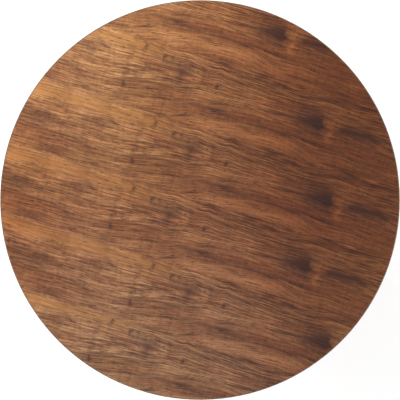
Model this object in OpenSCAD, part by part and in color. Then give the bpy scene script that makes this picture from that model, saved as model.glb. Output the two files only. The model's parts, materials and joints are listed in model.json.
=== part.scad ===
// Round pedestal table whose veneered top unlatches and tilts to the vertical for storage.
// Millimetres, +Z up. The origin is on the floor, under the centre of the column.
// The front, where the hinge is, faces -Y; the release lever is at the back, +Y.

/* [Top] */
// Diameter of the round top
top_d = 900; // [700:10:1200]
// Height of the top's upper face above the floor
table_h = 740; // [600:5:1100]
// Thickness of the core board
core_t = 24; // [18:1:40]
// Thickness of the face veneer and of the backing veneer
veneer_t = 0.6; // [0.5:0.1:2]
// Thickness of the solid edge band
edge_t = 2; // [1:0.5:6]
// Radius on the edge band's two outer edges
arris_r = 1; // [0.5:0.25:1]
// Width of one leaf of face veneer, across the grain
leaf_w = 156; // [100:2:300]
// How far the middle veneer joint lies from the centre
leaf_shift = 0; // [-70:1:70]
// Angle that the leaves' length makes with the X axis
leaf_angle = -17; // [-45:1:45]

/* [Tilt hinge] */
// How far the hinge axis lies in front of the column's centre
hinge_back = 70; // [60:1:90]
// Diameter of the hinge pin
pin_d = 12; // [8:0.5:16]
// Wall of steel around the hinge pin
knuckle_wall = 6; // [4:0.5:8]
// Room between a knuckle and what it turns past
knuckle_clear = 3; // [2:0.5:5]
// Distance between the middles of the two fixed hinge ears
ear_span = 120; // [100:2:150]
// Thickness of a fixed hinge ear
ear_t = 10; // [6:0.5:12]
// Thickness of a moving hinge knuckle
knuckle_t = 8; // [5:0.5:10]
// Wall of a hinge bush
bush_wall = 2; // [1:0.25:3]

/* [Tilt plate] */
// Width of the steel plate under the top
tilt_plate_w = 250; // [220:5:320]
// Thickness of the steel plate under the top
tilt_plate_t = 6; // [4:0.5:10]
// How far the plate reaches in front of the hinge axis
plate_front = 45; // [40:1:70]
// Corner radius of the plate
plate_corner_r = 18; // [5:1:30]

/* [Latch] */
// Diameter of the latch bolt
bolt_d = 12; // [8:0.5:14]
// How far the bolt is drawn back
bolt_travel = 13; // [12:0.5:16]
// Length of the bolt's tapered nose
nose_l = 8; // [5:0.5:9]
// Wall of the latch housing
housing_wall = 5.4; // [4:0.2:8]
// Length of the spring with the bolt out
spring_l = 32; // [30:1:45]
// Thickness of the keeper
keeper_t = 4; // [3:0.5:6]
// Distance from the lever's pivot up to the bolt's axis
lever_rise = 42; // [40:1:50]
// Length of the lever's handle, from its pivot
handle_l = 165; // [140:5:220]
// Diameter of the lever's pivot pin
pivot_d = 6; // [5:0.5:8]

/* [Column] */
// Outside diameter of the column tube
column_d = 60; // [45:1:76]
// Wall of the column tube
column_wall = 2.5; // [1.5:0.25:5]
// Diameter of the tie rod inside the column
tie_d = 12; // [8:1:14]
// Wall of the collars that hold the column's ends
collar_wall = 8; // [5:0.5:10]
// Depth of the collars that hold the column's ends
collar_h = 45; // [30:1:60]

/* [Head] */
// Width of the head bracket
head_w = 170; // [165:1:200]
// Thickness of the head bracket's plate
head_t = 8; // [6:0.5:12]

/* [Base] */
// Distance from the column's centre to each foot
foot_reach = 330; // [260:5:400]
// Height of the legs' underside at the feet
foot_clear = 18; // [17:0.5:24]
// Height of the leg at the foot
leg_tip_h = 26; // [26:1:34]
// Height of the leg's tongue where it is clamped
tongue_h = 30; // [22:1:40]
// Width of a leg at the hub
leg_w = 50; // [44:1:58]
// Width of a leg at the foot
leg_tip_w = 34; // [28:1:40]
// Radius of the hub's clamping disc
hub_r = 76; // [74:1:95]
// Thickness of the hub's clamping disc
hub_t = 10; // [8:0.5:16]
// Thickness of the plate under the legs
under_plate_t = 6; // [4:0.5:10]

/* [Glides] */
// Diameter of a glide's pad
pad_d = 38; // [30:1:40]
// Height of a glide's pad
pad_h = 10; // [9:0.5:10.5]
// Diameter of a glide's threaded stud
stud_d = 10; // [8:0.5:12]
// How far a glide can be screwed out
glide_travel = 12; // [6:1:14]

/* [Hidden] */
$fn = 96;

// Finishes
walnut = [0.53, 0.36, 0.26];
walnut_edge = [0.42, 0.28, 0.20];
board = [0.72, 0.60, 0.44];
black_coat = [0.10, 0.10, 0.105];
zinc = [0.72, 0.73, 0.74];
steel = [0.60, 0.61, 0.63];
brass = [0.78, 0.62, 0.30];
nylon = [0.07, 0.07, 0.075];
bush_grey = [0.45, 0.44, 0.42];
rubber = [0.05, 0.05, 0.05];

// Clearances, all on the radius or on one side
running = 0.05;     // between a turning or sliding fit's two faces
hole_gap = 0.3;     // round a screw that passes through
thread_gap = 0.02;  // round a screw that is screwed in
socket_gap = 0.15;  // round the column in its collars
stop_gap = 0.2;     // between a buffer and what it stops
side_gap = 1;       // beside parts that swing past each other
over = 1;           // how far a cut runs past the face it opens
leaf_joint = 0.05;  // the hairline between two leaves of veneer

// Top, from the upper face down
top_r = top_d / 2;
core_r = top_r - edge_t;
top_t = core_t + 2 * veneer_t;
under_z = table_h - top_t;
plate_z = under_z - tilt_plate_t;
core_z = under_z + veneer_t;

// Hinge
pin_r = pin_d / 2;
knuckle_r = pin_r + knuckle_wall;
hinge_drop = knuckle_r + knuckle_clear;
hinge_y = -hinge_back;
hinge_z = plate_z - hinge_drop;
knuckle_x = ear_span / 2 + ear_t / 2 + 2 * side_gap;
knuckle_flare = 6;
pin_end = 4;
pin_half = knuckle_x + knuckle_t + pin_end;
pin_groove_x = pin_half - 2.5;
pin_groove_r = pin_r - 1;
clip_t = 1.2;
clip_r = pin_r + 3;
bush_flange_t = side_gap;
bush_flange_r = knuckle_r - 1.5;

// Head bracket
head_top = hinge_z - hinge_drop;
head_z = head_top - head_t;
collar_r = column_d / 2 + socket_gap + collar_wall;
stop_buffer_t = 7;
stop_crown_t = 2;
stop_lip = 1.5;
stop_lip_t = 2;
head_front = hinge_y - hinge_drop + stop_buffer_t + stop_gap;
flange_t = 6;
stop_drop = plate_front - 15;
stop_z = hinge_z - stop_drop;
stop_buffer_r = 9;
flange_z = stop_z - stop_buffer_r - 5;
rib_t = 6;
rib_tip_h = 6;
head_corner_r = 6;
tie_nut_r = 0.92 * tie_d;

// Latch: the bolt slides along Y at the hinge's height, so the keeper leaves it at right angles
bolt_r = bolt_d / 2;
shoulder_r = bolt_r + 2.4;
chamber_r = shoulder_r + 0.2;
tail_r = 4;
lug_r = pivot_d / 2 + 5;
tail_l = 5;
tail_room = 4;
rear_wall = 6;
shoulder_l = 12;
housing_rear = tie_nut_r + tail_room + bolt_travel + tail_l;
chamber_y = housing_rear + rear_wall;
shoulder_y = chamber_y + spring_l;
cross_y = shoulder_y + shoulder_l / 2;
pivot_y = cross_y - bolt_travel / 2;
pivot_z = hinge_z - lever_rise;
cross_r = 2.5;
bush_l = 8;
bush_y = shoulder_y + shoulder_l + 0.3;
housing_front = bush_y + bush_l;
housing_half = chamber_r + housing_wall;
housing_top = hinge_z + chamber_r + 2.4;
end_plate_t = 3;
end_screw_r = 1.5;
end_screw_head = 1.5;
end_screw_depth = 5;
end_screw_x = housing_half - 3;
end_screw_rise = chamber_r + 1.2;
end_screw_z = hinge_z - 2;
keeper_y = housing_front + end_plate_t + end_screw_head + 1.5;
nose_y = keeper_y + keeper_t;
nose_tip_r = bolt_r / 4;
spring_r = chamber_r - 0.6;
wire_r = 0.8;
spring_turns = 7;
wire_sides = 8;
rings_per_turn = 16;
housing_screw_r = 2.5;
housing_screw_x = housing_half - 4.5;
housing_screw_head_r = 4.5;
housing_screw_depth = 8;
housing_screw_y = [collar_r + housing_screw_head_r + side_gap, housing_front - bush_l - 4];

// Keeper
keeper_corner_r = 3;
keeper_screw_head = 2.6;
keeper_half = bolt_r + 14;
keeper_hole_r = bolt_r + 0.4;
keeper_tip = hinge_z - keeper_hole_r - 5;
keeper_flange = 24;
keeper_screw_r = 2.5;
keeper_screw_l = keeper_t + tilt_plate_t - 0.5;
keeper_screw_y = keeper_y + keeper_flange - 9;
keeper_screw_x = keeper_half - 6;

// Head bracket's length, which carries the latch housing
head_back = housing_front - 2;
head_l = head_back - head_front;
buffer_r = 11;
buffer_x = head_w / 2 - buffer_r - 14;
buffer_y = head_back - buffer_r - 6;
buffer_screw_r = 3;
stop_stem_r = buffer_screw_r + 1;
screw_head = 3;

// Tilt plate's length, which carries the keeper
plate_back = keeper_y + keeper_flange + 12;
plate_y0 = hinge_y - plate_front;
plate_l = plate_back - plate_y0;
plate_screw_x = tilt_plate_w / 2 - 18;
plate_screw_y = [plate_y0 + 16, (plate_y0 + plate_back) / 2, plate_back - 16];
plate_screw_r = 3;
insert_r = 5;
insert_l = min(14, core_t - 6);

// Lever
fork_t = 3;
fork_x = housing_half + side_gap;
arm_w = 12;
eye_r = arm_w / 2 + 2;
lug_x = fork_x + fork_t + side_gap;
lug_t = 5;
lever_lean = atan(bolt_travel / 2 / lever_rise);
web_y = 42;
web_l = 20;
handle_w = 24;
handle_t = 4;
handle_z = -arm_w / 2;
handle_droop = 6;
grip_l = 88;
grip_w = handle_w + 12;
grip_r = 9;
grip_wall = 6;
grip_taper = 3;
groove_r = 28;
groove_pitch = 24;
groove_start = 22;
finger_groove = 2;
pivot_half = lug_x + lug_t + 2.5;
pivot_groove_x = pivot_half - 1.4;
pivot_groove_r = pivot_d / 2 - 0.8;
pivot_clip_r = pivot_d / 2 + 2.2;
cross_pin_half = fork_x + fork_t + 0.5;
fork_slot = 2 * (cross_r + 2 * running);
slot_end_gap = 0.8;

// Base
collar_fillet = 6;
under_plate_z = foot_clear + 2;
tongue_z = under_plate_z + under_plate_t;
disc_z = tongue_z + tongue_h;
column_z = disc_z + hub_t;
tongue_r = leg_w / 2 + 7;
leg_screw_r = 4;
leg_screw_head_r = 7;
leg_screw_head = 4.4;
hub_chamfer = 2;
under_plate_r = hub_r - 2;
insert_wall = 3;
boss_wall = 8;
boss_roof = 3;
leg_screw_at = (collar_r + collar_fillet + hub_r) / 2;
leg_screw_side = leg_w / 4;
boss_r = max(leg_tip_w / 2, stud_d / 2 + insert_wall + boss_wall);
boss_h = max(leg_tip_h, glide_travel + stud_d + boss_roof + over);
boss_top = foot_clear + boss_h;
leg_drop = column_z - boss_top;
leg_run = foot_reach - boss_r - hub_r - side_gap;
leg_arc_r = (leg_run * leg_run + leg_drop * leg_drop) / (2 * leg_drop);

// Tie rod
tie_r = tie_d / 2;
nut_h = 0.83 * tie_d;
washer_t = 2.5;
washer_r = tie_d;
rod_end = 1.5;
rod_chamfer = 1;
rod_z = under_plate_z - washer_t - nut_h - rod_end;
rod_top = head_top + washer_t + nut_h + rod_end;

// Glides
stud_r = stud_d / 2;
pad_chamfer = 1.5;
pad_crown = 3;
stud_disc_r = stud_r + 5;
stud_disc_z = 4;
stud_disc_t = 3;
stud_neck_r = stud_r + 1;
hex_r = stud_r + 4.8;
hex_z = pad_h + 0.5;
hex_top = foot_clear - 1;
stud_top = foot_clear + glide_travel + stud_d;

// A cylinder that lies along X, with its middle at x = 0
module bar_x(r, half) {
    rotate([0, 90, 0]) translate([0, 0, -half]) cylinder(r = r, h = 2 * half);
}

// A cylinder that lies along Y, from y = 0
module bar_y(r, l) {
    rotate([-90, 0, 0]) cylinder(r = r, h = l);
}

// A tube that stands on z = 0
module ring(r_out, r_in, h) {
    difference() {
        cylinder(r = r_out, h = h);
        translate([0, 0, -over]) cylinder(r = r_in, h = h + 2 * over);
    }
}

// A flat plate with round corners, its lowest corner at the origin
module rounded_plate(w, l, t, r) {
    translate([r, 0, 0]) cube([w - 2 * r, l, t]);
    translate([0, r, 0]) cube([w, l - 2 * r, t]);
    for (x = [r, w - r], y = [r, l - r]) translate([x, y, 0]) cylinder(r = r, h = t);
}

// A screw that hangs from z = 0, its head above, with a hexagon socket
module socket_screw(r, l, head_r, head_h) {
    crown_h = head_h * 0.4;
    crown_r = head_r * 0.78;
    socket_r = r * 0.7;
    translate([0, 0, -l]) cylinder(r = r, h = l + head_h / 2);
    difference() {
        union() {
            cylinder(r = head_r, h = head_h - crown_h);
            translate([0, 0, head_h - crown_h]) cylinder(r1 = head_r, r2 = crown_r, h = crown_h);
        }
        translate([0, 0, crown_h]) cylinder(r = socket_r, h = head_h, $fn = 6);
    }
}

// The same screw, turned to point upwards from z = 0
module screw_up(r, l, head_r, head_h) {
    mirror([0, 0, 1]) socket_screw(r, l, head_r, head_h);
}

// A retaining clip that lies on z = 0, open on one side
module clip(r_in, r_out, t) {
    mouth = r_in * 1.2;
    difference() {
        ring(r_out, r_in, t);
        translate([0, -mouth / 2, -over]) cube([r_out + over, mouth, t + 2 * over]);
    }
}

// A hexagon nut that stands on z = 0, chamfered on both faces
module nut(r, bore_r, h) {
    face_r = r * 0.9;
    difference() {
        intersection() {
            cylinder(r = r, h = h, $fn = 6);
            cylinder(r1 = face_r + h, r2 = face_r, h = h);
            cylinder(r1 = face_r, r2 = face_r + h, h = h);
        }
        translate([0, 0, -over]) cylinder(r = bore_r, h = h + 2 * over);
    }
}

// Puts its children at each of the tilt plate's fixing points
module at_plate_screws() {
    for (x = [-plate_screw_x, plate_screw_x], y = plate_screw_y) translate([x, y, 0]) children();
}

// Puts its children at each keeper screw
module at_keeper_screws() {
    for (x = [-keeper_screw_x, keeper_screw_x]) translate([x, keeper_screw_y, 0]) children();
}

// Puts its children at each screw that holds the latch housing down
module at_housing_screws() {
    for (x = [-housing_screw_x, housing_screw_x], y = housing_screw_y) translate([x, y, 0]) children();
}

// Puts its children at each screw of the latch's end plate, pointing along -Y
module at_end_screws() {
    for (x = [-1, 1], z = [-1, 1])
        translate([x * end_screw_x, housing_front, end_screw_z + z * end_screw_rise])
            rotate([-90, 0, 0]) children();
}

// Puts its children at each rest buffer
module at_buffers() {
    for (x = [-buffer_x, buffer_x]) translate([x, buffer_y, 0]) children();
}

// Puts its children at each stop buffer
module at_stops() {
    for (x = [-buffer_x, buffer_x]) translate([x, head_front, stop_z]) children();
}

// Turns its children to leg i's direction, with the leg's length along +X
module on_leg(i) {
    rotate([0, 0, 45 + 90 * (i - 1)]) children();
}

// Puts its children at the two screws of every leg
module at_leg_screws() {
    for (i = [1:4], side = [-leg_screw_side, leg_screw_side])
        on_leg(i) translate([leg_screw_at, side, 0]) children();
}

module core_board() {
    color(board)
        difference() {
            translate([0, 0, core_z]) cylinder(r = core_r, h = core_t);
            at_plate_screws() translate([0, 0, core_z - over]) cylinder(r = insert_r, h = insert_l + over);
        }
}

// The leaves of veneer lie side by side across the top, with their grain along their length
module face_veneer() {
    first = -ceil((core_r + leaf_shift) / leaf_w);
    last = ceil((core_r - leaf_shift) / leaf_w) - 1;
    color(walnut)
        for (i = [first:last])
            intersection() {
                translate([0, 0, table_h - veneer_t]) cylinder(r = core_r, h = veneer_t);
                rotate(leaf_angle)
                    translate([-top_r, leaf_shift + i * leaf_w + leaf_joint, under_z])
                        cube([top_d, leaf_w - leaf_joint, 2 * top_t]);
            }
}

module backing_veneer() {
    color(walnut)
        difference() {
            translate([0, 0, under_z]) cylinder(r = core_r, h = veneer_t);
            at_plate_screws()
                translate([0, 0, under_z - over]) cylinder(r = insert_r, h = veneer_t + 2 * over);
        }
}

module edge_band() {
    color(walnut_edge)
        translate([0, 0, under_z])
            rotate_extrude($fn = 180)
                difference() {
                    translate([core_r, 0]) square([edge_t, top_t]);
                    for (low = [0, 1])
                        translate([top_r - arris_r, low ? arris_r : top_t - arris_r])
                            difference() {
                                translate([0, low ? -arris_r - over : 0])
                                    square([arris_r + over, arris_r + over]);
                                circle(r = arris_r, $fn = 48);
                            }
                }
}

module threaded_inserts() {
    color(brass)
        at_plate_screws()
            translate([0, 0, under_z])
                ring(insert_r, plate_screw_r + thread_gap, insert_l + veneer_t);
}

// The plate and the two knuckles that hang from it, one on the outside of each ear
module tilt_plate() {
    color(zinc)
        difference() {
            union() {
                translate([-tilt_plate_w / 2, plate_y0, plate_z])
                    rounded_plate(tilt_plate_w, plate_l, tilt_plate_t, plate_corner_r);
                for (side = [-1, 1])
                    translate([side * (knuckle_x + knuckle_t / 2), hinge_y, hinge_z]) {
                        bar_x(knuckle_r, knuckle_t / 2);
                        translate([knuckle_t / 2, 0, 0]) rotate([90, 0, -90])
                            linear_extrude(height = knuckle_t)
                                polygon([[-knuckle_r, 0], [knuckle_r, 0],
                                    [knuckle_r + knuckle_flare, hinge_drop + over],
                                    [-knuckle_r - knuckle_flare, hinge_drop + over]]);
                    }
            }
            translate([0, hinge_y, hinge_z]) bar_x(pin_r, pin_half + over);
            at_plate_screws()
                translate([0, 0, plate_z - over])
                    cylinder(r = plate_screw_r + hole_gap, h = tilt_plate_t + 2 * over);
            at_keeper_screws()
                translate([0, 0, plate_z - over])
                    cylinder(r = keeper_screw_r + thread_gap, h = tilt_plate_t + 2 * over);
        }
}

module plate_screws() {
    color(zinc)
        at_plate_screws()
            translate([0, 0, plate_z])
                screw_up(plate_screw_r, tilt_plate_t + insert_l - over, plate_screw_r * 2, screw_head);
}

module hinge_pin() {
    color(steel)
        translate([0, hinge_y, hinge_z])
            difference() {
                bar_x(pin_r, pin_half);
                for (side = [-1, 1])
                    translate([side * pin_groove_x, 0, 0]) rotate([0, 90, 0])
                        translate([0, 0, -clip_t / 2]) ring(pin_r + over, pin_groove_r, clip_t);
            }
}

module hinge_pin_clips() {
    color(steel)
        for (side = [-1, 1])
            translate([side * pin_groove_x, hinge_y, hinge_z]) rotate([0, 90, 0])
                translate([0, 0, -clip_t / 2]) clip(pin_groove_r, clip_r, clip_t);
}

// The angle that the bolt's nose enters
module keeper() {
    corner_x = keeper_half - keeper_corner_r;
    corner_z = keeper_tip + keeper_corner_r;
    color(zinc)
        difference() {
            union() {
                translate([-keeper_half, keeper_y, plate_z - keeper_t])
                    cube([2 * keeper_half, keeper_flange, keeper_t]);
                translate([-keeper_half, keeper_y, corner_z])
                    cube([2 * keeper_half, keeper_t, plate_z - corner_z]);
                translate([-corner_x, keeper_y, keeper_tip])
                    cube([2 * corner_x, keeper_t, keeper_corner_r + over]);
                for (x = [-corner_x, corner_x])
                    translate([x, keeper_y, corner_z]) bar_y(keeper_corner_r, keeper_t);
            }
            translate([0, keeper_y - over, hinge_z]) bar_y(keeper_hole_r, keeper_t + 2 * over);
            at_keeper_screws()
                translate([0, 0, plate_z - keeper_t - over])
                    cylinder(r = keeper_screw_r + hole_gap, h = keeper_t + 2 * over);
        }
}

module keeper_screws() {
    color(zinc)
        at_keeper_screws()
            translate([0, 0, plate_z - keeper_t])
                screw_up(keeper_screw_r, keeper_screw_l, keeper_screw_r * 1.9, keeper_screw_head);
}

// The fixed plate on the column, with its collar, ears, lugs, ribs and stop flange
module head_bracket() {
    slot_half = arm_w / 2 + head_t + side_gap;
    slot_w = fork_t + 2 * side_gap;
    ear_front = -knuckle_r + knuckle_clear + 2;
    rib_root = collar_r - 2;
    rib_l = head_w / 2 - collar_r - 4;
    rib_h = collar_h - 4;
    color(black_coat)
        difference() {
            union() {
                translate([-head_w / 2, head_front, head_z])
                    rounded_plate(head_w, head_l, head_t, head_corner_r);
                translate([0, 0, head_top - head_t - collar_h]) cylinder(r = collar_r, h = collar_h + over);
                translate([-head_w / 2, head_front, flange_z])
                    cube([head_w, flange_t, head_z + head_t / 2 - flange_z]);
                for (x = [-ear_span / 2, ear_span / 2])
                    translate([x, hinge_y, hinge_z]) {
                        bar_x(knuckle_r, ear_t / 2);
                        translate([-ear_t / 2, ear_front, -hinge_drop - over])
                            cube([ear_t, knuckle_r - ear_front, hinge_drop + over]);
                    }
                for (side = [-1, 1])
                    translate([side * (lug_x + lug_t / 2), pivot_y, pivot_z]) {
                        bar_x(lug_r, lug_t / 2);
                        translate([-lug_t / 2, -lug_r, 0]) cube([lug_t, 2 * lug_r, head_z - pivot_z + over]);
                    }
                for (side = [0, 1])
                    mirror([side, 0, 0])
                        translate([rib_root, rib_t / 2, head_z + over]) rotate([90, 0, 0])
                            linear_extrude(height = rib_t)
                                polygon([[0, 0], [rib_l, 0], [rib_l, -rib_tip_h], [0, -rib_h]]);
            }
            translate([0, 0, head_z - collar_h - over])
                cylinder(r = column_d / 2 + socket_gap, h = collar_h + over);
            translate([0, 0, head_z - over]) cylinder(r = tie_r + hole_gap, h = head_t + 2 * over);
            translate([0, hinge_y, hinge_z]) bar_x(pin_r + running + bush_wall, ear_span);
            translate([0, pivot_y, pivot_z]) bar_x(pivot_d / 2, pivot_half + over);
            for (side = [-1, 1])
                translate([side * (fork_x + fork_t / 2) - slot_w / 2, pivot_y - slot_half, head_z - over])
                    cube([slot_w, 2 * slot_half, head_t + 2 * over]);
            at_buffers()
                translate([0, 0, head_z - over])
                    cylinder(r = buffer_screw_r + hole_gap, h = head_t + 2 * over);
            at_housing_screws()
                translate([0, 0, head_z - over])
                    cylinder(r = housing_screw_r + hole_gap, h = head_t + 2 * over);
            at_stops() translate([0, -over, 0]) bar_y(stop_stem_r, flange_t + 2 * over);
        }
}

// Flanged bushes, their flanges against the moving knuckles
module hinge_bushes() {
    r_in = pin_r + running;
    color(bush_grey)
        for (side = [-1, 1])
            translate([side * (ear_span / 2 - ear_t / 2), hinge_y, hinge_z])
                rotate([0, side * 90, 0]) {
                    ring(r_in + bush_wall, r_in, ear_t);
                    translate([0, 0, ear_t]) ring(bush_flange_r, r_in, bush_flange_t);
                }
}

module rest_buffers() {
    h = plate_z - stop_gap - head_top;
    foot_h = h * 0.4;
    crown_h = h * 0.1;
    color(rubber)
        at_buffers()
            translate([0, 0, head_top])
                difference() {
                    union() {
                        cylinder(r1 = buffer_r + 2, r2 = buffer_r, h = foot_h);
                        translate([0, 0, foot_h]) cylinder(r = buffer_r, h = h - foot_h - crown_h);
                        translate([0, 0, h - crown_h])
                            cylinder(r1 = buffer_r, r2 = buffer_r * 0.8, h = crown_h);
                    }
                    translate([0, 0, -over]) cylinder(r = buffer_screw_r + thread_gap, h = h * 0.6 + over);
                }
}

module buffer_screws() {
    color(zinc)
        at_buffers()
            translate([0, 0, head_z])
                screw_up(buffer_screw_r, head_t + hinge_drop, buffer_screw_r * 2, screw_head);
}

// Mushroom buffers pressed into the flange, which the tilt plate meets when it is vertical
module stop_buffers() {
    color(rubber)
        at_stops() {
            bar_y(stop_stem_r, flange_t + 2 * stop_lip_t);
            translate([0, -stop_buffer_t, 0]) bar_y(stop_buffer_r * 0.8, stop_crown_t);
            translate([0, stop_crown_t - stop_buffer_t, 0])
                bar_y(stop_buffer_r, stop_buffer_t - stop_crown_t);
            translate([0, flange_t, 0]) bar_y(stop_stem_r + stop_lip, stop_lip_t);
        }
}

// The block that the bolt slides in, bored from the front, slotted for the cross pin
module latch_housing() {
    slot_l = bolt_travel + 2 * cross_r + 2 * side_gap;
    slot_h = 2 * cross_r + side_gap;
    color(zinc)
        difference() {
            translate([-housing_half, housing_rear, head_top])
                cube([2 * housing_half, housing_front - housing_rear, housing_top - head_top]);
            translate([0, chamber_y, hinge_z]) bar_y(chamber_r, housing_front - chamber_y + over);
            translate([0, housing_rear - over, hinge_z]) bar_y(tail_r + running, rear_wall + 2 * over);
            translate([-fork_x, cross_y + cross_r + side_gap - slot_l, hinge_z - slot_h / 2])
                cube([2 * fork_x, slot_l, slot_h]);
            at_housing_screws()
                translate([0, 0, head_top - over])
                    cylinder(r = housing_screw_r + thread_gap, h = housing_screw_depth + 2 * over);
            at_end_screws()
                translate([0, 0, -end_screw_depth - over])
                    cylinder(r = end_screw_r + thread_gap, h = end_screw_depth + 2 * over);
        }
}

module housing_screws() {
    color(zinc)
        at_housing_screws()
            translate([0, 0, head_z])
                screw_up(housing_screw_r, head_t + housing_screw_depth, housing_screw_head_r, screw_head);
}

module latch_bush() {
    color(bush_grey)
        translate([0, bush_y, hinge_z]) rotate([-90, 0, 0]) ring(chamber_r, bolt_r + running, bush_l);
}

module latch_end_plate() {
    color(zinc)
        difference() {
            translate([-housing_half, housing_front, head_top])
                cube([2 * housing_half, end_plate_t, housing_top - head_top]);
            translate([0, housing_front - over, hinge_z]) bar_y(bolt_r + hole_gap, end_plate_t + 2 * over);
            at_end_screws()
                translate([0, 0, -over]) cylinder(r = end_screw_r + hole_gap, h = end_plate_t + 2 * over);
        }
}

module end_plate_screws() {
    color(steel)
        at_end_screws()
            translate([0, 0, end_plate_t])
                socket_screw(end_screw_r, end_plate_t + end_screw_depth, end_screw_r * 1.8, end_screw_head);
}

// Points round the spring's wire at angle a of its helix
function wire_ring(a) = let (at = spring_l * a / (360 * spring_turns), r = spring_r - wire_r)
    [for (j = [0:wire_sides - 1])
        let (w = 360 * j / wire_sides, rr = r + wire_r * cos(w))
            [rr * cos(a), wire_r * sin(w) + wire_r + at * (spring_l - 2 * wire_r) / spring_l, rr * sin(a)]];

module latch_spring() {
    rings = spring_turns * rings_per_turn;
    points = [for (i = [0:rings]) each wire_ring(i * 360 / rings_per_turn)];
    sides = [for (i = [0:rings - 1], j = [0:wire_sides - 1])
        let (k = (j + 1) % wire_sides, a = i * wire_sides, b = a + wire_sides)
            [a + j, b + j, b + k, a + k]];
    cap_a = [for (j = [0:wire_sides - 1]) j];
    cap_b = [for (j = [wire_sides - 1:-1:0]) rings * wire_sides + j];
    color(steel)
        translate([0, chamber_y, hinge_z]) polyhedron(points, concat(sides, [cap_a, cap_b]));
}

// The bolt: tail, shoulder with the cross pin's hole, body and tapered nose
module latch_bolt() {
    color(steel)
        difference() {
            translate([0, 0, hinge_z]) {
                translate([0, housing_rear - tail_l, 0])
                    bar_y(tail_r, shoulder_y - housing_rear + tail_l + over);
                translate([0, shoulder_y, 0]) bar_y(shoulder_r, shoulder_l);
                translate([0, shoulder_y, 0]) bar_y(bolt_r, nose_y - shoulder_y);
                translate([0, nose_y, 0]) rotate([-90, 0, 0])
                    cylinder(r1 = bolt_r, r2 = nose_tip_r, h = nose_l);
            }
            translate([0, cross_y, hinge_z]) bar_x(cross_r, chamber_r + over);
        }
}

module bolt_cross_pin() {
    color(steel)
        translate([0, cross_y, hinge_z]) bar_x(cross_r, cross_pin_half);
}

// A pressed lever: two forked arms up to the cross pin, a web and a flat handle
module release_lever() {
    arm_reach = lever_rise / cos(lever_lean);
    color(black_coat)
        translate([0, pivot_y, pivot_z])
            difference() {
                union() {
                    for (side = [-1, 1])
                        translate([side * (fork_x + fork_t / 2), 0, 0]) {
                            bar_x(eye_r, fork_t / 2);
                            rotate([-lever_lean, 0, 0])
                                translate([-fork_t / 2, -arm_w / 2, 0])
                                    cube([fork_t, arm_w, arm_reach + arm_w / 2]);
                            rotate([-handle_droop, 0, 0])
                                translate([-fork_t / 2, 0, handle_z]) cube([fork_t, web_y + web_l, arm_w]);
                        }
                    rotate([-handle_droop, 0, 0]) {
                        translate([-fork_x - fork_t / 2, web_y, handle_z])
                            cube([2 * fork_x + fork_t, web_l - side_gap, handle_t]);
                        translate([-handle_w / 2, web_y, handle_z])
                            cube([handle_w, handle_l - web_y - grip_wall, handle_t]);
                    }
                }
                bar_x(pivot_d / 2 + running, pivot_half);
                rotate([-lever_lean, 0, 0])
                    translate([-pivot_half, -fork_slot / 2, arm_reach - cross_r - slot_end_gap])
                        cube([2 * pivot_half, fork_slot, arm_w + over]);
            }
}

// A moulded sleeve over the end of the handle, with three finger grooves below
module lever_grip() {
    mid = handle_z + handle_t / 2;
    groove_z = mid - grip_r - groove_r + finger_groove;
    color(nylon)
        translate([0, pivot_y, pivot_z])
            rotate([-handle_droop, 0, 0])
                difference() {
                    hull()
                        for (x = [-1, 1], end = [0, 1])
                            translate([x * (grip_w / 2 - grip_r - grip_taper * end),
                                handle_l - grip_r - (1 - end) * (grip_l - 2 * grip_r), mid])
                                sphere(r = grip_r, $fn = 40);
                    translate([-handle_w / 2, handle_l - grip_l - over, handle_z])
                        cube([handle_w, grip_l - grip_wall + over, handle_t]);
                    for (i = [0:2])
                        translate([0, handle_l - grip_l + groove_start + groove_pitch * i, groove_z])
                            bar_x(groove_r, grip_w);
                }
}

module lever_pivot_pin() {
    color(steel)
        translate([0, pivot_y, pivot_z])
            difference() {
                bar_x(pivot_d / 2, pivot_half);
                for (side = [-1, 1])
                    translate([side * pivot_groove_x, 0, 0]) rotate([0, 90, 0])
                        translate([0, 0, -clip_t / 2]) ring(pivot_d / 2 + over, pivot_groove_r, clip_t);
            }
}

module pivot_pin_clips() {
    color(steel)
        for (side = [-1, 1])
            translate([side * pivot_groove_x, pivot_y, pivot_z]) rotate([0, 90, 0])
                translate([0, 0, -clip_t / 2]) clip(pivot_groove_r, pivot_clip_r, clip_t);
}

module column_tube() {
    color(black_coat)
        translate([0, 0, column_z]) ring(column_d / 2, column_d / 2 - column_wall, head_z - column_z);
}

module tie_rod() {
    rod_l = rod_top - rod_z;
    color(zinc)
        translate([0, 0, rod_z]) {
            cylinder(r1 = tie_r - rod_chamfer, r2 = tie_r, h = rod_chamfer);
            translate([0, 0, rod_chamfer]) cylinder(r = tie_r, h = rod_l - 2 * rod_chamfer);
            translate([0, 0, rod_l - rod_chamfer])
                cylinder(r1 = tie_r, r2 = tie_r - rod_chamfer, h = rod_chamfer);
        }
}

module tie_rod_nuts() {
    color(zinc) {
        translate([0, 0, under_plate_z - washer_t - nut_h]) nut(tie_nut_r, tie_r + thread_gap, nut_h);
        translate([0, 0, head_top + washer_t]) nut(tie_nut_r, tie_r + thread_gap, nut_h);
    }
}

module tie_rod_washers() {
    color(zinc) {
        translate([0, 0, under_plate_z - washer_t]) ring(washer_r, tie_r + hole_gap, washer_t);
        translate([0, 0, head_top]) ring(washer_r, tie_r + hole_gap, washer_t);
    }
}

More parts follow.
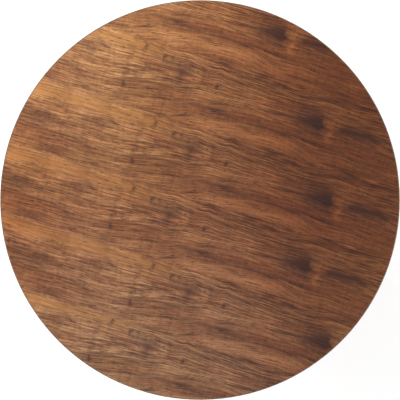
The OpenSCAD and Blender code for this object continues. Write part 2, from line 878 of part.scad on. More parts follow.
// The disc that clamps the legs, with the column's collar on it
module hub_casting() {
    color(black_coat)
        difference() {
            union() {
                translate([0, 0, disc_z]) cylinder(r = hub_r, h = hub_t - hub_chamfer);
                translate([0, 0, column_z - hub_chamfer])
                    cylinder(r1 = hub_r, r2 = hub_r - hub_chamfer, h = hub_chamfer);
                translate([0, 0, column_z]) cylinder(r = collar_r, h = collar_h - hub_chamfer);
                translate([0, 0, column_z + collar_h - hub_chamfer])
                    cylinder(r1 = collar_r, r2 = collar_r - hub_chamfer, h = hub_chamfer);
                translate([0, 0, column_z])
                    rotate_extrude()
                        difference() {
                            translate([collar_r - over, -over])
                                square([collar_fillet + over, collar_fillet + over]);
                            translate([collar_r + collar_fillet, collar_fillet]) circle(r = collar_fillet);
                        }
            }
            translate([0, 0, column_z]) cylinder(r = column_d / 2 + socket_gap, h = collar_h + over);
            translate([0, 0, disc_z - over]) cylinder(r = tie_r + hole_gap, h = hub_t + 2 * over);
            at_leg_screws()
                translate([0, 0, disc_z - over]) cylinder(r = leg_screw_r + hole_gap, h = hub_t + 2 * over);
        }
}

module hub_under_plate() {
    color(black_coat)
        difference() {
            translate([0, 0, under_plate_z]) cylinder(r = under_plate_r, h = under_plate_t);
            translate([0, 0, under_plate_z - over])
                cylinder(r = tie_r + hole_gap, h = under_plate_t + 2 * over);
            at_leg_screws()
                translate([0, 0, under_plate_z - over])
                    cylinder(r = leg_screw_r + thread_gap, h = under_plate_t + 2 * over);
        }
}

module leg_screws() {
    color(zinc)
        at_leg_screws()
            translate([0, 0, column_z])
                socket_screw(leg_screw_r, column_z - under_plate_z, leg_screw_head_r, leg_screw_head);
}

// One leg: a tongue between the hub's disc and plate, an arched back and the foot's boss
module leg(i) {
    color(black_coat)
        on_leg(i)
            difference() {
                union() {
                    intersection() {
                        translate([0, leg_w, 0]) rotate([90, 0, 0])
                            linear_extrude(height = 2 * leg_w)
                                polygon([[tongue_r, tongue_z], [hub_r, tongue_z], [foot_reach, foot_clear],
                                    [foot_reach, boss_top], [foot_reach, column_z],
                                    [hub_r + side_gap, column_z], [hub_r + side_gap, disc_z],
                                    [tongue_r, disc_z]]);
                        linear_extrude(height = 2 * column_z)
                            polygon([[tongue_r, -leg_w / 2], [hub_r, -leg_w / 2],
                                [foot_reach, -leg_tip_w / 2], [foot_reach, leg_tip_w / 2],
                                [hub_r, leg_w / 2], [tongue_r, leg_w / 2]]);
                    }
                    translate([foot_reach, 0, foot_clear]) cylinder(r = boss_r, h = boss_h);
                }
                translate([foot_reach - boss_r, -leg_w, boss_top + leg_arc_r]) rotate([-90, 0, 0])
                    cylinder(r = leg_arc_r, h = 2 * leg_w, $fn = 360);
                translate([foot_reach - boss_r, -leg_w, boss_top])
                    cube([2 * boss_r + over, 2 * leg_w, column_z]);
                translate([foot_reach, 0, foot_clear - over])
                    cylinder(r = stud_r + insert_wall, h = boss_h - boss_roof + over);
                for (side = [-leg_screw_side, leg_screw_side])
                    translate([leg_screw_at, side, tongue_z - over])
                        cylinder(r = leg_screw_r + hole_gap, h = tongue_h + 2 * over);
            }
}

module glide_inserts() {
    color(brass)
        for (i = [1:4])
            on_leg(i)
                translate([foot_reach, 0, foot_clear])
                    ring(stud_r + insert_wall, stud_r + running, boss_h - boss_roof - over);
}

// One glide's stud: a disc that turns in the pad, a neck, a hexagon and the thread
module glide_stud(i) {
    color(zinc)
        on_leg(i)
            translate([foot_reach, 0, 0]) {
                translate([0, 0, stud_disc_z + running]) cylinder(r = stud_disc_r, h = stud_disc_t);
                translate([0, 0, stud_disc_z + running]) cylinder(r = stud_neck_r, h = hex_z - stud_disc_z);
                translate([0, 0, hex_z]) cylinder(r = hex_r, h = hex_top - hex_z, $fn = 6);
                translate([0, 0, hex_z]) cylinder(r = stud_r, h = stud_top - hex_z);
            }
}

// One glide's pad, with the recess that keeps the stud's disc
module glide_pad(i) {
    recess_t = stud_disc_t + 2 * running;
    color(nylon)
        on_leg(i)
            translate([foot_reach, 0, 0])
                difference() {
                    union() {
                        cylinder(r1 = pad_d / 2 - pad_chamfer, r2 = pad_d / 2, h = pad_chamfer);
                        translate([0, 0, pad_chamfer])
                            cylinder(r = pad_d / 2, h = pad_h - pad_chamfer - pad_crown);
                        translate([0, 0, pad_h - pad_crown])
                            cylinder(r1 = pad_d / 2, r2 = stud_disc_r + pad_crown, h = pad_crown);
                    }
                    translate([0, 0, stud_disc_z]) cylinder(r = stud_disc_r + running, h = recess_t);
                    translate([0, 0, stud_disc_z]) cylinder(r = stud_neck_r + 2 * running, h = pad_h);
                }
}

core_board();
face_veneer();
backing_veneer();
edge_band();
threaded_inserts();
tilt_plate();
plate_screws();
hinge_pin();
hinge_pin_clips();
keeper();
keeper_screws();
head_bracket();
hinge_bushes();
rest_buffers();
buffer_screws();
stop_buffers();
latch_housing();
housing_screws();
latch_bush();
latch_end_plate();
end_plate_screws();
latch_spring();
latch_bolt();
bolt_cross_pin();
release_lever();
lever_grip();
lever_pivot_pin();
pivot_pin_clips();
column_tube();
tie_rod();
tie_rod_nuts();
tie_rod_washers();
hub_casting();
hub_under_plate();
leg_screws();
leg(1);  // leg_1
leg(2);  // leg_2
leg(3);  // leg_3
leg(4);  // leg_4
glide_inserts();
glide_stud(1);  // glide_stud_1
glide_stud(2);  // glide_stud_2
glide_stud(3);  // glide_stud_3
glide_stud(4);  // glide_stud_4
glide_pad(1);  // glide_pad_1
glide_pad(2);  // glide_pad_2
glide_pad(3);  // glide_pad_3
glide_pad(4);  // glide_pad_4
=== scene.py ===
"""Looks of the tilt top table: node materials on the CAD frame, studio light, floor and camera."""

import json
import math

import bpy
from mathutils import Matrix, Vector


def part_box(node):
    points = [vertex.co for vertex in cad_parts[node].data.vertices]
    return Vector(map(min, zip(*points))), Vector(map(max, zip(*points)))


MM = 0.001
# The middle of a noise texture's range
MID = 0.5

# Depths of the finishes' relief, in metres
GRAIN_DEPTH = 0.00006
CHIP_DEPTH = 0.0002
PEEL_DEPTH = 0.00025
BRUSH_DEPTH = 0.00004
SKIN_DEPTH = 0.00012
THREAD_DEPTH = 0.0005

# Widths of the worn edges, in metres
COAT_WEAR = 0.0007
METAL_WEAR = 0.0005
PLASTIC_WEAR = 0.0006
# Cosines of the angle between true and rounded normal: no wear, and full wear
UNWORN = 0.995
WORN = 0.9

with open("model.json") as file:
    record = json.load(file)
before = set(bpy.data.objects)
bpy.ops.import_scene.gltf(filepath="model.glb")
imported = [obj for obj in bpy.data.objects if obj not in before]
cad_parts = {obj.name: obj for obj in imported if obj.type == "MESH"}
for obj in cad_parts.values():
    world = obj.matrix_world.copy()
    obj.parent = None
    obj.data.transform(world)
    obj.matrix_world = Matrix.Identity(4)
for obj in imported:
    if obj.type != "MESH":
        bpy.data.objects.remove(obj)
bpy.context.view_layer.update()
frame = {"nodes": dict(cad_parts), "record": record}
nodes = frame["nodes"]
table_low, table_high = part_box("edge_band")
TOP_R = (table_high.x - table_low.x) / 2
TOP_Z = table_high.z

# Leaves of the face veneer: their direction, pitch and slip, as in the CAD, lengths in millimetres
LEAF_TURN = math.radians(17.0)
LEAF_PITCH = 156.0
# Along and across the grain, how far each leaf's figure has slipped, from the rear leaf to the front one
LEAF_SLIPS = ((-139.0, -11.0), (0.0, 0.0), (70.0, 4.0), (66.0, 3.0), (159.0, 0.0), (107.0, -10.0))


def linear(r, g, b):
    """An sRGB colour of 0 to 255 as a linear RGBA value."""
    out = []
    for c in (r, g, b):
        c /= 255
        out.append(c / 12.92 if c <= 0.04045 else ((c + 0.055) / 1.055) ** 2.4)
    return (*out, 1.0)


class Graph:
    """A material's node tree, with one short call for each kind of node."""

    def __init__(self, name):
        self.material = bpy.data.materials.new(name)
        self.material.use_nodes = True
        self.tree = self.material.node_tree
        self.shader = self.tree.nodes["Principled BSDF"]
        self.at = self.new("ShaderNodeTexCoord").outputs["Object"]
        split = self.new("ShaderNodeSeparateXYZ")
        self.plug(self.at, split.inputs[0])
        self.x, self.y, self.z = split.outputs

    def new(self, kind):
        return self.tree.nodes.new(kind)

    def plug(self, value, socket):
        """Links a socket, or sets a plain number or colour."""
        if isinstance(value, bpy.types.NodeSocket):
            self.tree.links.new(value, socket)
        else:
            socket.default_value = value

    def math(self, op, a, b=0.0, c=0.0):
        node = self.new("ShaderNodeMath")
        node.operation = op
        for value, socket in zip((a, b, c), node.inputs):
            self.plug(value, socket)
        return node.outputs[0]

    def add(self, *terms):
        total = terms[0]
        for term in terms[1:]:
            total = self.math("ADD", total, term)
        return total

    def sub(self, a, b):
        return self.math("SUBTRACT", a, b)

    def mul(self, *terms):
        total = terms[0]
        for term in terms[1:]:
            total = self.math("MULTIPLY", total, term)
        return total

    def smooth(self, value, low, high, out_low=0.0, out_high=1.0):
        """Goes smoothly from out_low to out_high as value goes from low to high."""
        node = self.new("ShaderNodeMapRange")
        node.interpolation_type = "SMOOTHSTEP"
        for v, key in ((value, "Value"), (low, "From Min"), (high, "From Max"), (out_low, "To Min"),
                       (out_high, "To Max")):
            self.plug(v, node.inputs[key])
        return node.outputs["Result"]

    def bell(self, value, middle, width):
        """1 at middle, falling away as a bell curve of that half-width."""
        t = self.mul(self.sub(value, middle), 1 / width)
        return self.math("POWER", math.e, self.mul(t, t, -1.0))

    def spot(self, u, v, at, half):
        """A soft round or long spot at a place in the plane of u and v."""
        return self.mul(self.bell(u, at[0], half[0]), self.bell(v, at[1], half[1]))

    def join(self, x, y, z=0.0):
        node = self.new("ShaderNodeCombineXYZ")
        for value, socket in zip((x, y, z), node.inputs):
            self.plug(value, socket)
        return node.outputs[0]

    def noise(self, vector, scale=1.0, detail=2.0, rough=0.5):
        node = self.new("ShaderNodeTexNoise")
        self.plug(vector, node.inputs["Vector"])
        node.inputs["Scale"].default_value = scale
        node.inputs["Detail"].default_value = detail
        node.inputs["Roughness"].default_value = rough
        return node.outputs["Fac"]

    def stretched(self, u, v, cell, shift=0.0, **more):
        """Noise whose cells have that length and width; each shift gives another pattern."""
        length, width = cell
        return self.noise(self.join(self.mul(u, 1 / length), self.mul(v, 1 / width), shift), **more)

    def swing(self, value, amount):
        """Turns noise of 0 to 1 into a swing about zero, amount wide in all."""
        return self.mul(self.sub(value, MID), amount)

    def ramp(self, value, stops):
        node = self.new("ShaderNodeValToRGB")
        self.plug(value, node.inputs[0])
        points = node.color_ramp.elements
        while len(points) < len(stops):
            points.new(0.5)
        for point, (place, colour) in zip(points, stops):
            point.position = place
            point.color = colour
        return node.outputs[0]

    def mix(self, amount, a, b, how="MIX"):
        node = self.new("ShaderNodeMix")
        node.data_type = "RGBA"
        node.blend_type = how
        self.plug(amount, node.inputs[0])
        self.plug(a, node.inputs[6])
        self.plug(b, node.inputs[7])
        return node.outputs[2]

    def bump(self, height, distance, strength):
        node = self.new("ShaderNodeBump")
        node.inputs["Strength"].default_value = strength
        node.inputs["Distance"].default_value = distance
        self.plug(height, node.inputs["Height"])
        return node.outputs[0]

    def edge_wear(self, radius):
        """1 on sharp outer edges, from the angle between the true and the rounded normal."""
        bevel = self.new("ShaderNodeBevel")
        bevel.samples = 4
        bevel.inputs["Radius"].default_value = radius
        geometry = self.new("ShaderNodeNewGeometry")
        dot = self.new("ShaderNodeVectorMath")
        dot.operation = "DOT_PRODUCT"
        self.plug(bevel.outputs[0], dot.inputs[0])
        self.plug(geometry.outputs["Normal"], dot.inputs[1])
        return self.smooth(dot.outputs["Value"], UNWORN, WORN)

    def finish(self, colour, rough, normal=None, **fixed):
        self.plug(colour, self.shader.inputs["Base Color"])
        self.plug(rough, self.shader.inputs["Roughness"])
        if normal is not None:
            self.plug(normal, self.shader.inputs["Normal"])
        for key, value in fixed.items():
            self.shader.inputs[key.replace("_", " ")].default_value = value
        return self.material


# ---------------------------------------------------------------- walnut face veneer

# The figure of one leaf, in millimetres along and across it. Each spot has its place (along, across), its
# half size (along, across) and its depth.
DARK_SPOTS = (
    # the knot's core and the dark wood above it
    ((206.0, 72.0), (11.0, 11.0), 0.80),
    ((190.0, 46.0), (40.0, 9.0), 0.25),
    ((300.0, 44.0), (34.0, 8.0), 0.20),
    # the smudge
    ((-121.0, 52.0), (20.0, 21.0), 0.68),
    ((-150.0, 40.0), (26.0, 14.0), 0.40),
    # the eye
    ((-38.0, 58.0), (3.6, 4.6), 0.75),
    ((-30.0, 54.0), (12.0, 6.0), 0.35),
    # short ticks across the grain
    ((-218.0, 17.0), (3.4, 9.0), 0.80),
    ((-169.0, 28.0), (3.4, 7.0), 0.65),
    ((-304.0, 45.0), (6.0, 3.6), 0.80),
    ((-314.0, 42.0), (14.0, 6.0), 0.35),
    ((-241.0, 113.0), (3.4, 7.0), 0.70),
    ((-243.0, 70.0), (6.0, 55.0), 0.25),
    # red-brown patches near the leaf's left end
    ((-480.0, 84.0), (50.0, 26.0), 0.34),
    ((-420.0, 140.0), (30.0, 10.0), 0.40),
    # long dark lines
    ((60.0, 113.0), (80.0, 4.5), 0.35),
    ((-34.0, 111.0), (48.0, 3.4), 0.75),
    ((20.0, 96.0), (60.0, 3.0), 0.35),
)
PALE_SPOTS = (
    # the gap between the knot and the second fan
    ((236.0, 86.0), (7.0, 22.0), 0.62),
    ((222.0, 60.0), (14.0, 6.0), 0.20),
    # beside the smudge
    ((-90.0, 32.0), (12.0, 18.0), 0.30),
    # long pale streaks
    ((-330.0, 12.0), (200.0, 13.0), 0.18),
    ((-90.0, 8.0), (90.0, 8.0), 0.25),
    ((70.0, 142.0), (190.0, 15.0), 0.40),
    ((-60.0, 72.0), (50.0, 16.0), 0.12),
    ((-400.0, 62.0), (40.0, 7.0), 0.35),
    ((-250.0, 92.0), (70.0, 7.0), 0.25),
    ((240.0, 22.0), (60.0, 5.0), 0.30),
)
# The two dark fans that open out from the knot: where each begins and is fullest, where it ends and is
# still full, its middle line, its half width at the start and at the end, and its depth
FANS = (
    ((100.0, 190.0), (226.0, 204.0), 73.0, (5.0, 23.0), 0.85),
    ((242.0, 266.0), (380.0, 280.0), 70.0, (9.0, 26.0), 0.70),
)
# What the grain runs round: (along, across), how far that reaches along and across, and the push
DIVERSIONS = (
    # the knot
    ((209.0, 74.0), 46.0, 14.0, 7.0),
    # the smudge
    ((-117.0, 45.0), 24.0, 12.0, 4.0),
    # the eye
    ((-38.0, 58.0), 10.0, 5.0, 2.5),
    # the second fan's end
    ((420.0, 60.0), 130.0, 30.0, 14.0),
)
# The climb of the grain along the leaf: its slope, the shift of its middle, and where it levels off at each
# end and how softly. It begins and is full at these places across the leaf.
CLIMB_SLOPE = 0.18
CLIMB_SHIFT = 100.0
CLIMB_END = (170.0, 70.0)
CLIMB_START = (-190.0, 90.0)
CLIMB_ACROSS = (18.0, 130.0)
# How wide the grain sways and ripples across the leaf, in millimetres
SWAY = 13.0
RIPPLE = 2.0

# The calmer wood: where it begins across the leaf, and where it and the lining fade towards the left end
CALM_ACROSS = (84.0, 104.0)
CALM_ALONG = (-260.0, -120.0)
LINED_ALONG = (-280.0, -60.0)
# The golden band: its middle line, its half width, and where along the leaf it begins and is full
GOLD_MIDDLE = 17.0
GOLD_HALF = 15.0
GOLD_ALONG = (-110.0, -240.0)

# How far the spots' edges wander in millimetres, how much the pale spots count, and the darkest mix
SPOT_WOBBLE = 22.0
PALE_SHARE = 0.55
DARK_LIMIT = 0.90

# Cells of the grain's layers, length and width in millimetres
SWAY_CELL = (240.0, 90.0)
RIPPLE_CELL = (42.0, 30.0)
BROAD_CELL = (420.0, 26.0)
BAND_CELL = (170.0, 9.0)
FINE_CELL = (120.0, 3.2)
HAIR_CELL = (44.0, 1.9)
VEIN_CELL = (130.0, 4.6)
PORE_CELL = (13.0, 1.5)
CURL_CELL = (7.0, 22.0)
BLOTCH_CELL = (60.0, 36.0)
HUE_CELL = (300.0, 17.0)
# Cells of the spots' uneven edges, for their ends and for their sides
END_CELL = (14.0, 9.0)
SIDE_CELL = (60.0, 3.4)

# Colours of the wood before the run over the whole top is laid over it; that run is partly the wood's own
# tone and partly painted sheen and painted shade
WOOD = (
    (0.10, linear(86, 47, 34)),
    (0.34, linear(112, 70, 49)),
    (0.50, linear(136, 91, 64)),
    (0.66, linear(157, 107, 76)),
    (0.90, linear(186, 134, 98)),
)
RED_STREAK = linear(178, 104, 62)
GREY_STREAK = linear(104, 92, 80)
CALM_WOOD = linear(176, 112, 72)
GOLDEN_BAND = linear(168, 111, 67)
VEIN = linear(86, 50, 30)
DARK_WOOD = linear(64, 33, 34)
PORE = linear(50, 32, 24)

# How the colour runs over the whole top, as multipliers: from left to right, from front to rear, and from
# one diagonal to the other. It is partly the walnut's own tone and partly painted light: a painted sheen
# that makes the rear left brighter and more golden, and painted shade that darkens the right.
LEFT_TO_RIGHT = (
    (0.00, (0.90, 0.79, 0.54, 1.0)),
    (0.19, (0.79, 0.74, 0.60, 1.0)),
    (0.31, (0.81, 0.78, 0.62, 1.0)),
    (0.50, (0.64, 0.57, 0.45, 1.0)),
    (0.69, (0.46, 0.33, 0.21, 1.0)),
    (0.82, (0.35, 0.22, 0.11, 1.0)),
    (1.00, (0.37, 0.24, 0.11, 1.0)),
)
FRONT_TO_REAR = (
    (0.00, (0.93, 1.12, 1.46, 1.0)),
    (0.19, (1.00, 1.17, 1.45, 1.0)),
    (0.44, (0.96, 0.97, 1.02, 1.0)),
    (0.60, (0.97, 0.98, 0.93, 1.0)),
    (1.00, (1.25, 1.30, 1.18, 1.0)),
)
DIAGONALS = (
    (0.00, (1.28, 1.46, 1.66, 1.0)),
    (0.50, (1.00, 1.01, 1.00, 1.0)),
    (1.00, (1.00, 1.04, 1.02, 1.0)),
)


def leaf_frame(g):
    """Where a point lies in its own leaf of veneer: along it, across it and the leaf's number."""
    cos, sin = math.cos(LEAF_TURN), math.sin(LEAF_TURN)
    x = g.mul(g.x, 1 / MM)
    y = g.mul(g.y, 1 / MM)
    along = g.sub(g.mul(x, cos), g.mul(y, sin))
    across = g.mul(g.add(g.mul(x, sin), g.mul(y, cos)), -1.0)
    number = g.math("FLOOR", g.mul(across, 1 / LEAF_PITCH))
    inside = g.sub(across, g.mul(number, LEAF_PITCH))
    shift_u, shift_v = 0.0, 0.0
    half = len(LEAF_SLIPS) // 2
    for i, (slip_u, slip_v) in enumerate(LEAF_SLIPS):
        here = g.math("COMPARE", number, float(i - half), 0.5)
        shift_u = g.add(shift_u, g.mul(here, slip_u))
        shift_v = g.add(shift_v, g.mul(here, slip_v))
    return g.sub(along, shift_u), g.sub(inside, shift_v), number


def grain_line(g, p, q):
    """The grain's course: a value that is the same all along one growth line."""
    reach = g.math("SMOOTH_MIN", g.add(p, CLIMB_SHIFT), *CLIMB_END)
    reach = g.math("SMOOTH_MAX", reach, *CLIMB_START)
    rise = g.mul(reach, g.smooth(q, *CLIMB_ACROSS), CLIMB_SLOPE)
    sway = g.swing(g.stretched(p, q, SWAY_CELL, shift=3.1, detail=1.0), SWAY)
    ripple = g.swing(g.stretched(p, q, RIPPLE_CELL, shift=7.7, detail=1.0), RIPPLE)
    line = g.add(q, rise, sway, ripple)
    for at, length, width, push in DIVERSIONS:
        off = g.sub(q, at[1])
        side = g.math("DIVIDE", off, g.math("SQRT", g.add(g.mul(off, off), width * width)))
        line = g.sub(line, g.mul(side, g.bell(p, at[0], length), push))
    return line


def dark_figure(g, p, q):
    """How dark the leaf's spots and fans make a place."""
    dark = 0.0
    for at, half, depth in DARK_SPOTS:
        dark = g.add(dark, g.mul(g.spot(p, q, at, half), depth))
    for begin, end, middle, (thin, thick), depth in FANS:
        width = g.smooth(p, begin[0], end[0], thin, thick)
        off = g.math("DIVIDE", g.sub(q, middle), width)
        shape = g.mul(g.bell(off, 0.0, 1.0), g.smooth(p, *begin), g.smooth(p, *end))
        dark = g.add(dark, g.mul(shape, depth))
    return dark


def pale_figure(g, p, q):
    """How pale the leaf's pale spots make a place."""
    pale = 0.0
    for at, half, depth in PALE_SPOTS:
        pale = g.add(pale, g.mul(g.spot(p, q, at, half), depth))
    return pale


def wood_tone_and_painted_light(g, colour):
    """Lays the run over the colour: golden at the rear left, dark red-brown at the right. It is partly the
    wood's own tone and partly painted light, a painted sheen at the rear left and painted shade at the
    right.
    """
    wide = g.mul(g.x, 1 / TOP_R)
    deep = g.mul(g.y, 1 / TOP_R)
    drift = g.swing(g.noise(g.at, scale=3.2, detail=1.0), 0.5)
    run = g.add(0.5, g.mul(wide, 0.5), g.mul(drift, 0.2), g.mul(deep, wide, -0.04))
    colour = g.mix(1.0, colour, g.ramp(run, LEFT_TO_RIGHT), "MULTIPLY")
    colour = g.mix(1.0, colour, g.ramp(g.add(0.5, g.mul(deep, 0.5)), FRONT_TO_REAR), "MULTIPLY")
    return g.mix(1.0, colour, g.ramp(g.add(0.5, g.mul(wide, deep)), DIAGONALS), "MULTIPLY")


def walnut_face():
    g = Graph("walnut_face")
    p, q, number = leaf_frame(g)
    line = grain_line(g, p, q)

    # Growth bands from broad to fine, each long along the grain; the fine ones differ a little by leaf
    broad = g.stretched(p, line, BROAD_CELL, shift=1.3, rough=0.55)
    bands = g.stretched(p, line, BAND_CELL, shift=5.2, rough=0.6)
    fine = g.stretched(p, line, FINE_CELL, shift=g.mul(number, 0.035), rough=0.6)
    hair = g.stretched(p, line, HAIR_CELL, shift=9.4, detail=1.0, rough=0.6)
    vein = g.smooth(g.stretched(p, line, VEIN_CELL, shift=15.0, detail=1.0), 0.42, 0.31)
    growth = g.add(g.swing(broad, 0.58), g.swing(bands, 0.16), g.swing(fine, 0.52), g.swing(hair, 1.55))

    # Curl across the grain, and the blotches that a satin finish brings out
    curl = g.swing(g.stretched(p, q, CURL_CELL, shift=2.2), 0.30)
    blotch = g.swing(g.stretched(p, q, BLOTCH_CELL, shift=4.0), 0.32)

    # Places of the figure, with uneven edges that follow the grain
    wobble_p = g.add(p, g.swing(g.stretched(p, q, END_CELL, shift=6.6), SPOT_WOBBLE))
    wobble_q = g.add(q, g.swing(g.stretched(p, line, SIDE_CELL, shift=8.8), SPOT_WOBBLE))

    # Below the knots' line the wood is calmer and more orange, and towards the left end less lined
    calm = g.mul(g.smooth(wobble_q, *CALM_ACROSS), g.smooth(p, *CALM_ALONG, out_low=0.35))
    lined = g.mul(g.sub(1.12, g.mul(calm, 0.50)), g.smooth(p, *LINED_ALONG, out_low=0.72))
    tone = g.add(MID, g.mul(growth, lined), curl, blotch, g.mul(calm, 0.015))
    tone = g.add(tone, g.mul(pale_figure(g, wobble_p, wobble_q), PALE_SHARE))
    colour = g.ramp(tone, WOOD)

    # Redder and greyer streaks of heartwood, the calm wood, the golden band and dark veins
    hue = g.stretched(p, line, HUE_CELL, shift=11.0)
    colour = g.mix(g.smooth(hue, 0.50, 0.68, out_high=0.24), colour, RED_STREAK, "SOFT_LIGHT")
    colour = g.mix(g.smooth(hue, 0.48, 0.34, out_high=0.40), colour, GREY_STREAK, "SOFT_LIGHT")
    colour = g.mix(g.mul(calm, 0.14), colour, CALM_WOOD, "SOFT_LIGHT")
    gold = g.mul(g.bell(wobble_q, GOLD_MIDDLE, GOLD_HALF), g.smooth(wobble_p, *GOLD_ALONG))
    colour = g.mix(g.mul(gold, 0.62), colour, GOLDEN_BAND)
    colour = g.mix(g.mul(vein, 0.36), colour, VEIN)

    # The dark figure, broken up by the fine grain
    broken = g.add(0.05, fine, g.mul(hair, 0.9))
    dark = g.mul(dark_figure(g, wobble_p, wobble_q), broken)
    colour = g.mix(g.math("MINIMUM", dark, DARK_LIMIT), colour, DARK_WOOD)

    # Open pores: short dark dashes along the grain, thicker in the dark lines
    pore = g.stretched(p, line, PORE_CELL, shift=12.5, detail=1.0)
    pores = g.mul(g.smooth(pore, 0.56, 0.70), g.smooth(fine, 0.62, 0.36, out_low=0.35))
    # Then the run over the whole top: wood tone with a painted sheen at the rear left and painted shade at
    # the right
    colour = wood_tone_and_painted_light(g, g.mix(g.mul(pores, 0.85), colour, PORE))

    height = g.add(g.mul(pores, -1.0), g.mul(fine, 0.35))
    rough = g.add(0.48, g.mul(pores, 0.18), g.swing(bands, 0.10))
    return g.finish(colour, rough, g.bump(height, GRAIN_DEPTH, 0.5), Specular_IOR_Level=0.22,
                    Coat_Weight=0.05, Coat_Roughness=0.30)


def walnut_plain(name, dark, light, along, rough):
    """Walnut seen on the edge band or the underside: straight grain along X or round the rim."""
    g = Graph(name)
    if along == "rim":
        turn = g.mul(g.math("ARCTAN2", g.y, g.x), TOP_R / MM)
        u, v = turn, g.mul(g.z, 1 / MM)
    else:
        u, v = g.mul(g.x, 1 / MM), g.mul(g.y, 1 / MM)
    line = g.add(v, g.swing(g.stretched(u, v, (200.0, 60.0), detail=1.0), 16.0))
    bands = g.stretched(u, line, (240.0, 7.0), shift=2.0)
    fine = g.stretched(u, line, (90.0, 1.6), shift=4.0, rough=0.65)
    pores = g.smooth(g.stretched(u, line, (10.0, 0.6), shift=6.0, detail=0.0), 0.62, 0.75)
    tone = g.add(MID, g.swing(bands, 1.1), g.swing(fine, 1.0))
    colour = g.ramp(tone, ((0.15, dark), (0.85, light)))
    colour = g.mix(g.mul(pores, 0.5), colour, linear(52, 36, 28))
    height = g.add(g.mul(pores, -1.0), g.mul(fine, 0.4))
    return g.finish(colour, g.add(rough, g.mul(pores, 0.2)), g.bump(height, GRAIN_DEPTH, 0.5),
                    Specular_IOR_Level=0.35)


def particle_board():
    g = Graph("particle_board")
    cell = g.new("ShaderNodeTexVoronoi")
    g.plug(g.at, cell.inputs["Vector"])
    cell.inputs["Scale"].default_value = 420.0
    chips = g.new("ShaderNodeSeparateXYZ")
    g.plug(cell.outputs["Color"], chips.inputs[0])
    cloud = g.noise(g.at, scale=60.0, detail=3.0)
    tone = g.add(g.mul(chips.outputs[0], 0.7), g.mul(cloud, 0.3))
    colour = g.ramp(tone, ((0.0, linear(128, 100, 66)), (0.5, linear(182, 152, 108)),
                           (1.0, linear(214, 190, 150))))
    return g.finish(colour, 0.85, g.bump(tone, CHIP_DEPTH, 0.6), Specular_IOR_Level=0.2)


# ---------------------------------------------------------------- metals, plastics and rubber

def powder_coat():
    g = Graph("powder_coat")
    peel = g.noise(g.at, scale=900.0, rough=0.55)
    cloud = g.noise(g.at, scale=9.0, detail=3.0)
    dust = g.noise(g.at, scale=2600.0, detail=1.0)
    patches = g.noise(g.at, scale=55.0, detail=3.0)
    wear = g.mul(g.edge_wear(COAT_WEAR), g.smooth(patches, 0.50, 0.64))
    tone = g.add(g.mul(cloud, 0.7), g.mul(dust, 0.3))
    base = g.ramp(tone, ((0.3, linear(32, 32, 34)), (0.75, linear(48, 48, 50))))
    colour = g.mix(wear, base, linear(112, 110, 106))
    rough = g.add(0.50, g.mul(cloud, 0.14), g.mul(wear, -0.12))
    return g.finish(colour, rough, g.bump(peel, PEEL_DEPTH, 0.35), Specular_IOR_Level=0.5)


def zinc_plate(name, tint, rough, brushed):
    """Plated or bare metal: faint spangle, brushing marks along X and a few dull patches."""
    g = Graph(name)
    stretch = g.join(g.mul(g.x, brushed), g.y, g.z)
    brush = g.noise(stretch, scale=700.0, rough=0.6)
    cloud = g.noise(g.at, scale=24.0, detail=3.0)
    spangle = g.noise(g.at, scale=260.0)
    dull = g.smooth(cloud, 0.50, 0.70)
    dark = tuple(c * 0.72 for c in tint[:3]) + (1.0,)
    colour = g.mix(g.add(g.mul(dull, 0.6), g.mul(spangle, 0.35)), tint, dark)
    wear = g.edge_wear(METAL_WEAR)
    colour = g.mix(g.mul(wear, 0.5), colour, (0.80, 0.80, 0.80, 1.0))
    rough_at = g.add(rough, g.mul(dull, 0.14), g.swing(brush, 0.16))
    height = g.add(brush, g.mul(spangle, 0.4))
    return g.finish(colour, rough_at, g.bump(height, BRUSH_DEPTH, 0.6), Metallic=1.0)


def moulded(name, dark, light, rough, grain):
    """Moulded plastic or rubber with a fine spark-eroded grain and rubbed edges."""
    g = Graph(name)
    skin = g.noise(g.at, scale=grain, rough=0.6)
    cloud = g.noise(g.at, scale=30.0, detail=3.0)
    rubbed = g.mul(g.edge_wear(PLASTIC_WEAR), 0.5)
    worn = tuple(2.2 * c for c in light[:3]) + (1.0,)
    colour = g.mix(rubbed, g.ramp(cloud, ((0.3, dark), (0.7, light))), worn)
    return g.finish(colour, g.add(rough, g.swing(cloud, 0.2)), g.bump(skin, SKIN_DEPTH, 0.5),
                    Specular_IOR_Level=0.4)


def screw_thread(pitch):
    """Zinc-plated screw thread, whose turns run round a standing bolt, with painted shade in its roots."""
    g = Graph("screw_thread")
    turn = g.mul(g.math("FRACT", g.mul(g.z, 1 / pitch)), 2.0)
    flank = g.math("ABSOLUTE", g.sub(turn, 1.0))
    cloud = g.noise(g.at, scale=40.0, detail=3.0)
    # Painted shade: the roots of every turn are darkened, standing in for shade in the grooves
    root_shade = g.mul(g.smooth(flank, 0.45, 0.05), 0.75)
    zinc = g.ramp(cloud, ((0.3, linear(176, 178, 180)), (0.7, linear(204, 205, 206))))
    colour = g.mix(root_shade, zinc, linear(70, 70, 72))
    return g.finish(colour, g.add(0.32, g.mul(cloud, 0.2)), g.bump(flank, THREAD_DEPTH, 0.9), Metallic=1.0)


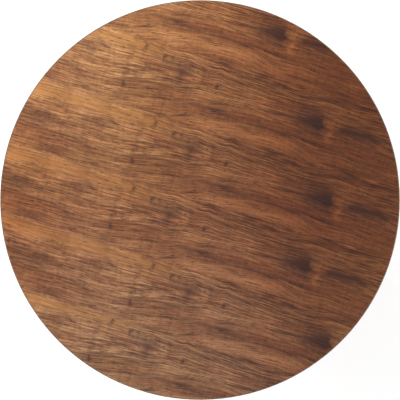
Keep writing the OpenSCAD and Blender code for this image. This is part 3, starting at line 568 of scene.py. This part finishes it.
THREAD_PITCH = 0.0015
THREADED = ("tie_rod", "glide_stud_1", "glide_stud_2", "glide_stud_3", "glide_stud_4")
threaded = screw_thread(THREAD_PITCH)
looks = {
    "walnut": walnut_face(),
    "walnut_edge": walnut_plain("walnut_edge_grain", linear(82, 62, 50), linear(134, 106, 86), "rim", 0.5),
    "walnut_back": walnut_plain("walnut_backing", linear(104, 74, 54), linear(156, 118, 88), "x", 0.6),
    "core": particle_board(),
    "black_coat": powder_coat(),
    "zinc": zinc_plate("zinc_plated", linear(196, 198, 200), 0.34, 0.25),
    "steel": zinc_plate("bare_steel", linear(178, 178, 180), 0.26, 0.08),
    "brass": zinc_plate("brass_turned", linear(206, 172, 104), 0.30, 0.4),
    "bush": moulded("bush_plastic", linear(142, 139, 132), linear(160, 157, 149), 0.45, 1500.0),
    "nylon": moulded("black_nylon", linear(26, 26, 28), linear(36, 36, 38), 0.48, 1800.0),
    "rubber": moulded("black_rubber", linear(22, 22, 22), linear(30, 30, 30), 0.72, 1300.0),
}

# Each CAD node takes the finish of its material slot
slot_of = {row["node"]: row["material_slot"] for row in frame["record"]["subparts"]}
for name, node in nodes.items():
    look = looks[slot_of[name]]
    if name in THREADED:
        look = threaded
    node.data.materials.clear()
    node.data.materials.append(look)


# ---------------------------------------------------------------- floor, light and camera

FLOOR_WIDTH = 60.0
SKY_STRENGTH = 0.85


def plain_floor():
    g = Graph("studio_floor")
    cloud = g.noise(g.at, scale=1.2)
    colour = g.ramp(cloud, ((0.3, (0.90, 0.90, 0.90, 1.0)), (0.7, (0.93, 0.93, 0.93, 1.0))))
    g.finish(colour, 0.9)
    half = FLOOR_WIDTH / 2
    mesh = bpy.data.meshes.new("floor")
    corners = [(-half, -half, 0), (half, -half, 0), (half, half, 0), (-half, half, 0)]
    mesh.from_pydata(corners, [], [(0, 1, 2, 3)])
    mesh.materials.append(g.material)
    floor = bpy.data.objects.new("floor", mesh)
    bpy.context.scene.collection.objects.link(floor)


def soft_light(name, place, size, power, tint):
    """A square soft box that faces the middle of the table."""
    lamp = bpy.data.lights.new(name, "AREA")
    lamp.size = size
    lamp.energy = power
    lamp.color = tint
    holder = bpy.data.objects.new(name, lamp)
    bpy.context.scene.collection.objects.link(holder)
    holder.location = place
    plate_low, plate_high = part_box("tilt_plate")
    aim = holder.location - plate_low.lerp(plate_high, 0.5)
    holder.rotation_mode = "QUATERNION"
    holder.rotation_quaternion = aim.to_track_quat("Z", "Y")


plain_floor()
soft_light("key", place=(-2.6, 2.0, 3.6), size=2.2, power=150.0, tint=(1.0, 0.98, 0.95))
soft_light("fill", place=(2.8, -2.2, 2.6), size=2.6, power=70.0, tint=(0.96, 0.98, 1.0))
soft_light("low_fill", place=(-1.6, -3.4, 0.7), size=2.0, power=28.0, tint=(1.0, 1.0, 1.0))

world = bpy.data.worlds.new("studio")
world.use_nodes = True
world.node_tree.nodes["Background"].inputs["Color"].default_value = (1.0, 1.0, 1.0, 1.0)
world.node_tree.nodes["Background"].inputs["Strength"].default_value = SKY_STRENGTH
scene = bpy.context.scene
scene.world = world
scene.view_settings.view_transform = "Standard"

# The camera looks straight down, and the top takes this share of the frame's width
CAMERA_RISE = 7.0
FRAME_FILL = 0.9995
lens = bpy.data.cameras.new("camera")
lens.sensor_width = 36.0
lens.lens = lens.sensor_width / 2 * CAMERA_RISE / TOP_R * FRAME_FILL
lens.clip_end = 100.0
camera = bpy.data.objects.new("camera", lens)
scene.collection.objects.link(camera)
camera.location = (0.0, 0.0, TOP_Z + CAMERA_RISE)
scene.camera = camera
